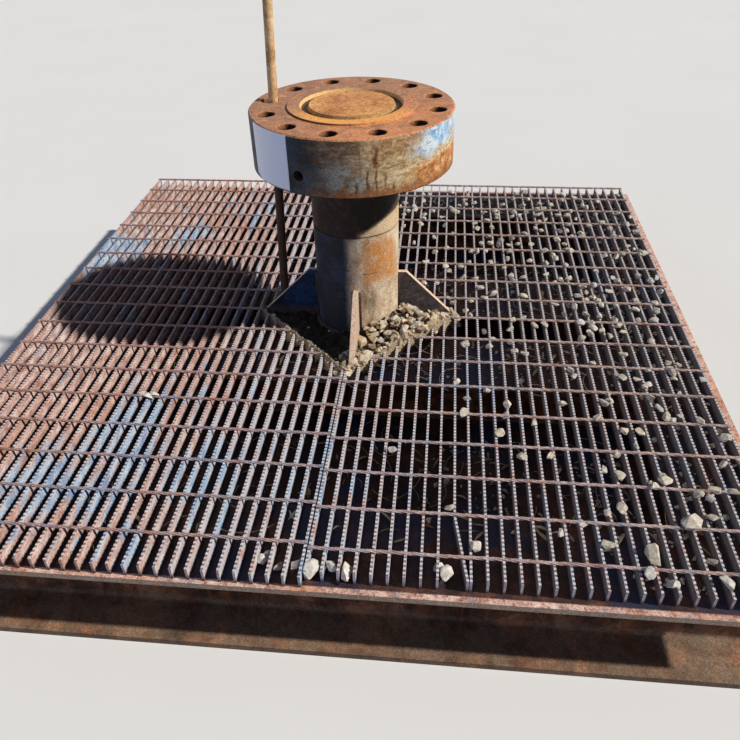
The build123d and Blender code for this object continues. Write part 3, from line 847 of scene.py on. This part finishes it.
def packed_soil():
    s = Shader("packed_soil", 0.95)
    x, y, _ = s.axes()
    tone = s.attribute("tone")
    shaded_soil = s.ramp(s.noise(34.0, 8.0, 0.72, 0.3), (0.34, (15, 14, 15)), (0.50, (29, 26, 26)),
                  (0.64, (58, 51, 46)))
    dry = s.ramp(s.noise(60.0, 7.0, 0.72), (0.34, (30, 24, 19)), (0.50, (70, 57, 44)),
                 (0.64, (146, 126, 101)))
    # Darker on the left of the post, as painted shadow of the post; paler on its right and in the crust
    # along the bars' ends. Loose crumbs are paler
    right = s.window(s.minus(x, s.times(y, 0.3)), STUMP_X - 0.01, STUMP_X + 0.07)
    off_centre = s.plus(s.abs(s.minus(x, CUTOUT_X)), s.abs(s.minus(y, STUMP_Y)))
    rim = s.window(off_centre, CUTOUT_REACH - 0.011, CUTOUT_REACH - 0.003)
    right_side_and_crust = s.math("MAXIMUM", right, rim)
    color = s.over(shaded_soil, dry, right_side_and_crust, s.patches(0.36, 0.54, 24.0, 4.0))
    color = s.over(color, s.mottle((132, 108, 84), (226, 202, 170), 80.0, 5.0, 0.7), rim, 0.75)
    crumb = s.mix(tone, (84, 68, 52), (232, 211, 179))
    share = s.math("MULTIPLY_ADD", right_side_and_crust, 0.82, 0.08)
    color = s.over(color, crumb, s.window(tone, 0.0, 0.25), share)
    color = s.grain(color, 0.4, 260.0)
    return s.finish(color, s.noise(170.0, 6.0, 0.75), 0.8, 1.5 * MM)


def loose_stone():
    s = Shader("loose_stone", 0.85)
    color = s.ramp(s.attribute("tone"), (0.0, (150, 144, 138)), (0.25, (196, 186, 170)),
                   (0.45, (222, 206, 180)), (0.65, (192, 198, 204)), (0.85, (232, 220, 198)),
                   (1.0, (246, 241, 232)))
    vein = s.ramp(s.noise(90.0, 6.0, 0.65, 0.5), (0.36, (104, 92, 78)), (0.64, (240, 228, 208)))
    color = s.grain(s.mix(0.45, color, vein), 0.3, 300.0)
    return s.finish(color, s.noise(220.0, 5.0, 0.7), 0.5, 0.8 * MM)


def dry_leaf():
    s = Shader("dry_leaf", 0.8)
    color = s.ramp(s.attribute("tone"), (0.0, (150, 124, 98)), (0.5, (206, 184, 152)),
                   (0.95, (236, 222, 192)), (1.0, (248, 244, 230)))
    color = s.over(color, (70, 52, 40), s.noise(120.0, 4.0), 0.5)
    return s.finish(color, s.noise(300.0, 3.0), 0.3)


MATERIALS = {maker.__name__: maker() for maker in (
    flange_steel, port_steel, post_steel, weld_bead, gusset_plate, grating_steel, rod_steel, frame_steel,
    pan_sheet, bar_steel, label_paper, packed_soil, loose_stone, dry_leaf)}


def dress_nodes():
    """Gives every carried-over node the material of its slot."""
    for part in frame["record"]["subparts"]:
        node = NODES[part["node"]]
        node.data.materials.clear()
        node.data.materials.append(MATERIALS[part["material_slot"]])


# Grating

def bar_stations(y0, y1, phase):
    """Places along a bar's top edge, each with its depth below the top."""
    stations = [(y0, 0.0)]
    first = floor((y0 - phase) / SERRATION_PITCH)
    last = ceil((y1 - phase) / SERRATION_PITCH)
    for cell in range(first, last + 1):
        for share, depth in SERRATION_SHAPE:
            y = phase + (cell + share) * SERRATION_PITCH
            if y0 + SERRATION_MARGIN < y < y1 - SERRATION_MARGIN:
                stations.append((y, depth * SERRATION_DEPTH))
    stations.append((y1, 0.0))
    return stations


def serrated_bar(builder, points, tone, rng):
    """A bearing bar with a serrated top, along the centre line of the solid's points."""
    line = []
    for level in sorted({round(p[1], 5) for p in points}):
        xs = [p[0] for p in points if abs(p[1] - level) < 1e-5]
        line.append((level, (min(xs) + max(xs)) / 2))
    y0, y1 = line[0][0], line[-1][0]
    phase = rng.random() * SERRATION_PITCH
    bow = rng.uniform(-BAR_BOW, BAR_BOW)

    def pair(y, z):
        """The points on the bar's two sides."""
        x = float(np.interp(y, [p[0] for p in line], [p[1] for p in line]))
        x += bow * sin(pi * (y - y0) / (y1 - y0))
        return [(x - BAR_THICKNESS / 2, y, z), (x + BAR_THICKNESS / 2, y, z)]

    stations = bar_stations(y0, y1, phase)
    verts = []
    for y, depth in stations:
        verts += pair(y, GRATING_TOP - depth)
    corners = list(range(0, len(stations) - 1, len(SERRATION_SHAPE))) + [len(stations) - 1]
    if len(corners) > 2 and corners[-1] - corners[-2] < 2:
        corners.pop(-2)
    low = len(verts)
    for index in corners:
        verts += pair(stations[index][0], BEAM_TOP)
    faces = []
    for i in range(len(stations) - 1):
        a, b = 2 * i, 2 * i + 2
        faces.append((a, a + 1, b + 1, b))
    for k in range(len(corners) - 1):
        a, b = low + 2 * k, low + 2 * k + 2
        tops = range(corners[k], corners[k + 1] + 1)
        faces.append((a, b, b + 1, a + 1))
        faces.append((a, *[2 * t for t in tops], b))
        faces.append((b + 1, *[2 * t + 1 for t in reversed(tops)], a + 1))
    faces.append((0, low, low + 1, 1))
    end, low_end = 2 * (len(stations) - 1), low + 2 * (len(corners) - 1)
    faces.append((end + 1, low_end + 1, low_end, end))
    builder.add(verts, faces, tone)


def twisted_rod(builder, points, rng):
    """A square rod twisted along X, sunk a little into the bars. Its tones are 1 on the corners."""
    x0, x1 = min(p[0] for p in points), max(p[0] for p in points)
    y = (min(p[1] for p in points) + max(p[1] for p in points)) / 2
    z = GRATING_TOP + ROD_FLAT - ROD_SUNK
    steps = max(2, ceil((x1 - x0) / ROD_STEP))
    turn = rng.random() * tau
    rings = []
    for i in range(steps + 1):
        x = x0 + (x1 - x0) * i / steps
        wave = ROD_WAVE * sin(x * 31 + turn)
        angle = turn + tau * (x - x0) / ROD_TWIST
        ring = []
        for k in range(8):
            reach = ROD_FLAT if k % 2 else ROD_CORNER
            around = angle + k * pi / 4
            ring.append((x, y + wave + reach * cos(around), z + reach * sin(around)))
        rings.append(ring)
    first = len(builder.points)
    builder.loft(rings)
    for index in range(first, len(builder.points)):
        builder.tones[index] = float((index - first) % 2 == 0)


def gratings():
    rng = Random(GRATING_SEED)
    for side in ("left", "right"):
        bars = Builder()
        for points in solids(side + "_bearing_bars"):
            serrated_bar(bars, points, rng.random() * BAR_TONES, rng)
        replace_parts(bars.piece(side + "_serrated_bars", "grating_steel"), side + "_bearing_bars")
        rods = Builder()
        for points in solids(side + "_cross_rods"):
            twisted_rod(rods, points, rng)
        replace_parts(rods.piece(side + "_twisted_rods", "grating_steel", "rod_steel"), side + "_cross_rods")


# Welds

def bead_section(radius, wave, rough, rng):
    """A fillet bead's bulging face: places across and up, from its foot to its top."""
    swell = radius * (1 + 0.10 * sin(wave) + rough * rng.uniform(-1, 1))
    section = []
    for k in range(BEAD_SIDES + 1):
        angle = k / BEAD_SIDES * pi / 2
        reach = swell * (0.80 + 0.20 * abs(cos(2 * angle)))
        section.append((reach * cos(angle), reach * sin(angle)))
    return section


def bead(builder, line, across, up, rng):
    """A rippled fillet bead along straight points, with the corner between across and up filled."""
    rings = []
    for i, point in enumerate(line):
        ring = [point]
        for a, b in bead_section(GUSSET_BEAD, i * GUSSET_RIPPLE, GUSSET_ROUGH, rng):
            ring.append(tuple(point[j] + a * across[j] + b * up[j] for j in range(3)))
        rings.append(ring)
    builder.loft(rings)


def ring_bead(name, node, z, up, rng):
    """A rippled fillet round the pipe at height z, in a node's place. up is +1 or -1."""
    low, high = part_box(node)
    inner = PIPE_RADIUS - RING_SUNK
    rings = []
    for i in range(RING_BEAD_STEPS):
        angle = tau * i / RING_BEAD_STEPS
        section = bead_section(high.z - low.z, i * RING_RIPPLE, RING_ROUGH, rng)
        ring = [round_stump(angle, inner + a, z + up * b) for a, b in section]
        ring.append(round_stump(angle, inner, z))
        rings.append(ring)
    ring = Builder()
    ring.loft(rings, closed=True)
    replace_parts(ring.piece(name, "weld_bead", smooth=True), node)


def welds():
    rng = Random(WELD_SEED)
    beads = Builder()
    for name, out in (("right", (1, 0)), ("back", (0, 1)), ("left", (-1, 0)), ("front", (0, -1))):
        low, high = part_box(name + "_gusset")
        side = (-out[1], out[0])
        middle = (low + high) / 2
        thick = min(high.x - low.x, high.y - low.y)
        offset = (middle.x - STUMP_X) * side[0] + (middle.y - STUMP_Y) * side[1]
        for hand in (-1, 1):
            across = offset + hand * thick / 2
            reach = sqrt(PIPE_RADIUS ** 2 - across ** 2)
            away = (hand * side[0], hand * side[1], 0)
            count = int((high.z - low.z - BEAD_START - BEAD_END_GAP) / BEAD_STEP)
            bottom = low.z + BEAD_START
            line = [beside(out, reach, across, bottom + i * BEAD_STEP) for i in range(count)]
            bead(beads, line, (*out, 0), away, rng)
            count = int(FOOT_BEAD_LENGTH / BEAD_STEP)
            start = reach + BEAD_START
            line = [beside(out, start + i * BEAD_STEP, across, PLATE_TOP) for i in range(count)]
            bead(beads, line, away, (0, 0, 1), rng)
    beads.piece("gusset_welds", "weld_bead", smooth=True)
    ring_bead("base_weld_bead", "base_weld", PLATE_TOP, 1, rng)
    ring_bead("upper_weld_bead", "upper_weld", FLANGE_BOTTOM, -1, rng)


# Label and port thread

def label():
    """A blank sheet stuck on the flange's side, with one corner curled away."""
    top = SHOULDER - LABEL_DROP
    outer, inner = [], []
    for row in range(LABEL_CELLS + 1):
        v = row / LABEL_CELLS
        for column in range(LABEL_CELLS + 1):
            u = column / LABEL_CELLS
            wrinkle = 0.5 * MM * noise.noise(Vector((u * 5, v * 3, 3.0)))
            wrinkle += 0.25 * MM * noise.noise(Vector((u * 14, v * 6, 9)))
            corner = max(0.0, v - 0.80 - 0.9 * u)
            radius = FLANGE_RADIUS + LABEL_OFF + abs(wrinkle) + LABEL_CURL * corner
            radius += LABEL_FLARE * max(0.0, v - 0.9)
            z = top - LABEL_TALL * (v - 0.45 * corner)
            angle = radians(LABEL_FROM + (LABEL_TO - LABEL_FROM) * u + 9.0 * corner)
            outer.append(round_stump(angle, radius, z))
            inner.append(round_stump(angle, radius - LABEL_THICKNESS, z))
    sheet, rim = grid(LABEL_CELLS)
    count = len(outer)
    faces = [(a, d, c, b) for a, b, c, d in sheet]
    faces += [tuple(count + i for i in face) for face in sheet]
    for a, b in zip(rim, rim[1:] + rim[:1]):
        faces.append((a, b, count + b, count + a))
    paper = Builder()
    paper.add(outer + inner, faces)
    paper.piece("blank_label", "label_paper", smooth=True)


def port_thread():
    """Thread crests in the side port, from its mouth inwards."""
    out = (cos(radians(PORT_ANGLE)), sin(radians(PORT_ANGLE)))
    z = FLANGE_TOP - PORT_BELOW_TOP
    total = (int(PORT_THREAD / PORT_PITCH) - 1) * PORT_STEPS
    verts, faces = [], []
    for i in range(total + 1):
        angle = tau * i / PORT_STEPS
        depth = FLANGE_RADIUS - 1.5 * MM - PORT_PITCH * i / PORT_STEPS
        for proud, shift in PORT_PROFILE:
            r = PORT_RADIUS + proud
            verts.append(beside(out, depth + shift * PORT_PITCH, r * cos(angle), z + r * sin(angle)))
    for i in range(total):
        a, b = 4 * i, 4 * i + 4
        for k in range(4):
            j = (k + 1) % 4
            faces.append((a + k, b + k, b + j, a + j))
    faces.append((0, 1, 2, 3))
    faces.append(tuple(4 * total + k for k in (3, 2, 1, 0)))
    thread = Builder()
    thread.add(verts, faces)
    thread.piece("port_thread", "flange_steel", "port_steel")


# Soil and stones

def soil_height(x, y):
    """Height of the caked soil: a ridge of crust along the bars' ends, a heap on the right of the post."""
    dx, dy = x - CUTOUT_X, y - STUMP_Y
    inside = CUTOUT_REACH - (abs(dx) + abs(dy))
    lumps = noise.fractal(Vector((x * 38, y * 38, 1.7)), 0.9, 2.1, 5)
    fine = noise.fractal(Vector((x * 150, y * 150, 5.1)), 0.9, 2.2, 3)
    ridge = max(0.0, 1 - abs(inside - 0.004) / 0.016)
    base = PLATE_TOP + 4 * MM + 5 * MM * lumps + 1.8 * MM * fine + 4 * MM * ridge
    heap = max(0.0, 1 - hypot(dx - HEAP_X, dy - HEAP_Y) / HEAP_REACH)
    base += HEAP_HEIGHT * heap * (1 + 0.5 * lumps)
    away = hypot(x - STUMP_X, y - STUMP_Y) - PIPE_RADIUS
    lean = max(0.0, cos(atan2(y - STUMP_Y, x - STUMP_X) - radians(BANK_ANGLE)))
    base += BANK_HEIGHT * max(0.0, 1 - away / BANK_REACH) * lean
    if inside < 0.004:
        edge = max(0.0, min(1.0, (inside + 0.014) / 0.018))
        broken = noise.fractal(Vector((x * 70, y * 70, 8.3)), 0.8, 2.0, 4)
        base = base * edge + (BEAM_TOP + 2 * MM) * (1 - edge) + 9 * MM * broken * (1 - edge)
        base = max(base, BEAM_TOP + 0.8 * MM)
    return base


def soil():
    """The caked soil: a corner-on square grid of points, closed by a flat underside."""
    reach = CUTOUT_REACH + SOIL_OVERLAP
    top = []
    for row in range(SOIL_CELLS + 1):
        for column in range(SOIL_CELLS + 1):
            x = CUTOUT_X + (column - row) / SOIL_CELLS * reach
            y = STUMP_Y + ((column + row) / SOIL_CELLS - 1) * reach
            if row in (0, SOIL_CELLS) or column in (0, SOIL_CELLS):
                x += SOIL_RAGGED * noise.noise(Vector((x * 60, y * 60, 2)))
                y += SOIL_RAGGED * noise.noise(Vector((x * 60, y * 60, 4)))
            top.append((x, y, soil_height(x, y)))
    faces, rim = grid(SOIL_CELLS)
    count = len(top)
    low = [(top[i][0], top[i][1], BEAM_TOP + 0.2 * MM) for i in rim]
    for i in range(len(rim)):
        j = (i + 1) % len(rim)
        faces.append((rim[j], rim[i], count + i, count + j))
    faces.append(tuple(count + i for i in reversed(range(len(rim)))))
    ground = Builder()
    ground.add(top + low, faces)
    ground.piece("caked_soil", "packed_soil", smooth=True)


def stone_shapes(count, corners, worn, rng):
    """Broken stone shapes of about unit size: hulls of random points, with their edges worn."""
    shapes = []
    for _ in range(count):
        mesh = bmesh.new()
        scale = Vector((1.0, rng.uniform(0.62, 0.95), rng.uniform(0.45, 0.8)))
        for _ in range(corners):
            way = Vector((rng.gauss(0, 1), rng.gauss(0, 1), rng.gauss(0, 1))).normalized()
            mesh.verts.new(way * scale * rng.uniform(0.86, 1.08))
        bmesh.ops.convex_hull(mesh, input=mesh.verts)
        loose = [vert for vert in mesh.verts if not vert.link_faces]
        bmesh.ops.delete(mesh, geom=loose, context="VERTS")
        if worn:
            bmesh.ops.bevel(mesh, geom=mesh.edges[:], offset=worn, segments=1, affect="EDGES",
                            clamp_overlap=True)
        mesh.verts.index_update()
        points = [vert.co.copy() for vert in mesh.verts]
        faces = [tuple(vert.index for vert in face.verts) for face in mesh.faces]
        mesh.free()
        shapes.append((points, faces))
    return shapes


def put_stone(builder, shapes, place, size, rng, tone):
    points, faces = rng.choice(shapes)
    tilt = [rng.uniform(-STONE_TILT, STONE_TILT) for _ in range(2)]
    turn = Euler((*tilt, rng.random() * tau)).to_matrix()
    builder.add([tuple(Vector(place) + turn @ point * size) for point in points], faces, tone)


def place_below(x, y):
    """Height of what lies under the grating at a place: a beam's top flange or a pan."""
    if any(low < y < high for low, high in JOIST_SPANS) or any(low < x < high for low, high in SIDE_SPANS):
        return BEAM_TOP
    return PAN_TOP


def cutout_stones(fine, coarse, rng):
    """Stones and clods on the soil in the cut-out, densest on the right, and crust at the bars' ends."""
    near, clods = Builder(), Builder()
    for _ in range(GRIT_TRIES):
        u, v = rng.uniform(-1, 1), rng.uniform(-1, 1)
        x = CUTOUT_X + (u - v) * CUTOUT_REACH / 2 * 1.04
        y = STUMP_Y + (u + v) * CUTOUT_REACH / 2 * 1.04
        right = x - STUMP_X + 0.30 * (STUMP_Y - y)
        if hypot(x - STUMP_X, y - STUMP_Y) < PIPE_RADIUS + 5 * MM:
            continue
        if right < SPARSE_LEFT_OF and rng.random() > SPARSE_SHARE:
            continue
        size = rng.choice(GRIT_SIZES) * MM
        if right < SPARSE_LEFT_OF:
            size = min(size, 5 * MM)
        place = (x, y, soil_height(x, y) + size * 0.4)
        if rng.random() < CLOD_SHARE:
            put_stone(clods, fine, place, size * 1.15, rng, rng.uniform(0.25, 1.0))
        else:
            shapes = coarse if size > COARSE_FROM else fine
            put_stone(near, shapes, place, size, rng, rng.uniform(0.1, 0.6))
    for _ in range(CRUST_COUNT):
        along = (rng.uniform(-1, 1) + 1) / 2
        side = rng.choice((-1, 1))
        off = CUTOUT_REACH + rng.uniform(-0.009, 0.006)
        x = CUTOUT_X + off * along * side
        y = STUMP_Y + off * (1 - along) * rng.choice((-1, -1, 1))
        size = rng.choice(CRUST_SIZES) * MM
        place = (x, y, soil_height(x, y) + size * 0.2)
        put_stone(clods, fine, place, size, rng, rng.uniform(0.25, 1.0))
    near.piece("cutout_stones", "loose_stone")
    clods.piece("soil_clods", "packed_soil")


def loose_stones(fine, coarse, rng):
    """Scattered on the right panel: the big ones lie on the bars, the small ones fell through."""
    scattered = Builder()
    for _ in range(SCATTER_TRIES):
        x, y = rng.uniform(0.05, FRAME_REACH - 0.04), rng.uniform(-0.86, 0.84)
        if abs(x - CUTOUT_X) + abs(y - STUMP_Y) < CUTOUT_REACH + 0.015:
            continue
        patch = noise.noise(Vector((x * 5, y * 5, 12.0)))
        thick = min(1.0, max(0.0, (x - 0.12 + 0.45 * (y + 0.35)) / 0.9 + 0.5 * patch))
        if rng.random() > thick:
            continue
        size = rng.choice(SCATTER_SIZES) * MM
        if size > ON_TOP_FROM:
            z = GRATING_TOP + size * 0.38
        elif size > CAUGHT_FROM:
            z = GRATING_TOP - 1.5 * MM
        else:
            z = place_below(x, y) + size * 0.5
        shapes = coarse if size > COARSE_FROM else fine
        put_stone(scattered, shapes, (x, y, z), size, rng, rng.uniform(0.05, 0.85))
    for x, y, size in FRONT_STONES:
        put_stone(scattered, coarse, (x, y, BEAM_TOP + size * 1.1), size * 1.25, rng, 1.0)
    for x, y, size in TOP_STONES:
        place = (x, y, GRATING_TOP + size * 0.45)
        put_stone(scattered, coarse, place, size, rng, rng.uniform(0.3, 0.9))
    scattered.piece("loose_stones", "loose_stone")


def stones():
    rng = Random(STONE_SEED)
    fine = stone_shapes(*FINE_SHAPES, rng)
    coarse = stone_shapes(*COARSE_SHAPES, rng)
    cutout_stones(fine, coarse, rng)
    loose_stones(fine, coarse, rng)


def leaf(builder, place, turn, long, wide, arch, tone):
    """A thin dry leaf, arched along its length and folded along its middle."""
    x, y, z = place
    rings = []
    for i in range(LEAF_ROWS + 1):
        t = i / LEAF_ROWS
        half = wide * sin(pi * (0.06 + 0.90 * t)) / 2
        along = long * (t - 0.5)
        ring = []
        for side, lift in ((-half, 0.2 * MM), (half, 0.2 * MM), (half, -0.2 * MM), (-half, -0.2 * MM)):
            ring.append((x + along * cos(turn) - side * sin(turn), y + along * sin(turn) + side * cos(turn),
                         z + arch * sin(pi * t) + half * 0.35 + lift))
        rings.append(ring)
    builder.loft(rings, tone)


def stalk(builder, place, turn, bend, long, tone):
    """A thin bent stalk."""
    x, y, z = place
    rings = []
    for i in range(STALK_STEPS + 1):
        heading = turn + bend * i / STALK_STEPS
        x += long / STALK_STEPS * cos(heading)
        y += long / STALK_STEPS * sin(heading)
        ring = []
        for k in range(STALK_SIDES):
            across, up = STALK_RADIUS * cos(k * tau / STALK_SIDES), STALK_RADIUS * sin(k * tau / STALK_SIDES)
            ring.append((x - sin(heading) * across, y + cos(heading) * across, z + up))
        rings.append(ring)
    builder.loft(rings, tone)


def litter():
    """Dry leaves and stalks on the pans and beams under the grating, and a few on the bars."""
    rng = Random(LITTER_SEED)
    leaves = Builder()
    for _ in range(LEAF_COUNT):
        x, y = rng.uniform(-0.80, 0.80), rng.uniform(-0.80, 0.80)
        z = place_below(x, y) + rng.uniform(1, 5) * MM
        long, wide = rng.uniform(18, 46) * MM, rng.uniform(3, 8) * MM
        leaf(leaves, (x, y, z), rng.random() * tau, long, wide, rng.uniform(-4, 9) * MM, rng.random())
    for _ in range(STALK_COUNT):
        x, y = rng.uniform(-0.75, 0.75), rng.uniform(-0.80, 0.80)
        z = place_below(x, y) + rng.uniform(3, 12) * MM
        stalk(leaves, (x, y, z), rng.random() * tau, rng.uniform(-2.2, 2.2), rng.uniform(40, 120) * MM,
              0.6 + 0.4 * rng.random())
    for x, y, size in TOP_LEAVES:
        leaf(leaves, (x, y, GRATING_TOP + 2 * MM), rng.random() * tau, size * 2, size * 0.9, 5 * MM, 1.0)
    leaves.piece("leaf_litter", "dry_leaf")


# Studio

def lamp(name, azimuth, elevation, spread, strength, color):
    """A far lamp that shines on the stump from the azimuth and elevation, all in degrees."""
    azimuth, elevation = radians(azimuth), radians(elevation)
    way = Vector((cos(elevation) * cos(azimuth), cos(elevation) * sin(azimuth), sin(elevation)))
    data = bpy.data.lights.new(name, "SUN")
    data.energy = strength
    data.angle = radians(spread)
    data.color = srgb(*color)[:3]
    far = bpy.data.objects.new(name, data)
    far.location = way * LAMP_DISTANCE
    far.rotation_euler = way.to_track_quat("Z", "Y").to_euler()
    bpy.context.scene.collection.objects.link(far)


def studio():
    """A pale floor and background that light the object less than they show, and two lamps."""
    s = Shader("studio_floor", 0.9)
    pale = s.mottle((232, 231, 228), (238, 237, 234), 1.6, 3.0)
    color = s.mix(s.seen_directly(), (116, 118, 122), pale)
    corners = [(x * FLOOR_REACH, y * FLOOR_REACH, FLOOR_Z) for x, y in ((-1, -1), (1, -1), (1, 1), (-1, 1))]
    mesh = bpy.data.meshes.new("studio_floor")
    mesh.from_pydata(corners, [], [(0, 1, 2, 3)])
    mesh.materials.append(s.finish(color, s.noise(300.0, 2.0), 0.05))
    ground = bpy.data.objects.new("studio_floor", mesh)
    bpy.context.scene.collection.objects.link(ground)

    world = bpy.data.worlds.new("studio")
    bpy.context.scene.world = world
    world.use_nodes = True
    tree = Nodes(world.node_tree)
    air = world.node_tree.nodes["Background"]
    tree.put(air.inputs["Color"], (190, 212, 255))
    tree.put(air.inputs["Strength"], AIR_STRENGTH)
    backdrop = tree.node("ShaderNodeBackground")
    tree.put(backdrop.inputs["Color"], (236, 236, 236))
    tree.put(backdrop.inputs["Strength"], 1.0)
    mixer = tree.node("ShaderNodeMixShader")
    for socket, value in zip(mixer.inputs, (tree.seen_directly(), air.outputs[0], backdrop.outputs[0])):
        tree.put(socket, value)
    tree.put(world.node_tree.nodes["World Output"].inputs[0], mixer.outputs[0])

    for settings in LAMPS:
        lamp(*settings)


def camera():
    data = bpy.data.cameras.new("photo_camera")
    data.lens = CAMERA_LENS
    data.sensor_width = SENSOR_WIDTH
    view = bpy.data.objects.new("photo_camera", data)
    view.location = CAMERA_PLACE
    view.rotation_euler = [radians(angle) for angle in CAMERA_TURN]
    bpy.context.scene.collection.objects.link(view)
    bpy.context.scene.camera = view


bpy.context.scene.view_settings.view_transform = "Standard"
dress_nodes()
gratings()
welds()
label()
port_thread()
soil()
stones()
litter()
studio()
camera()
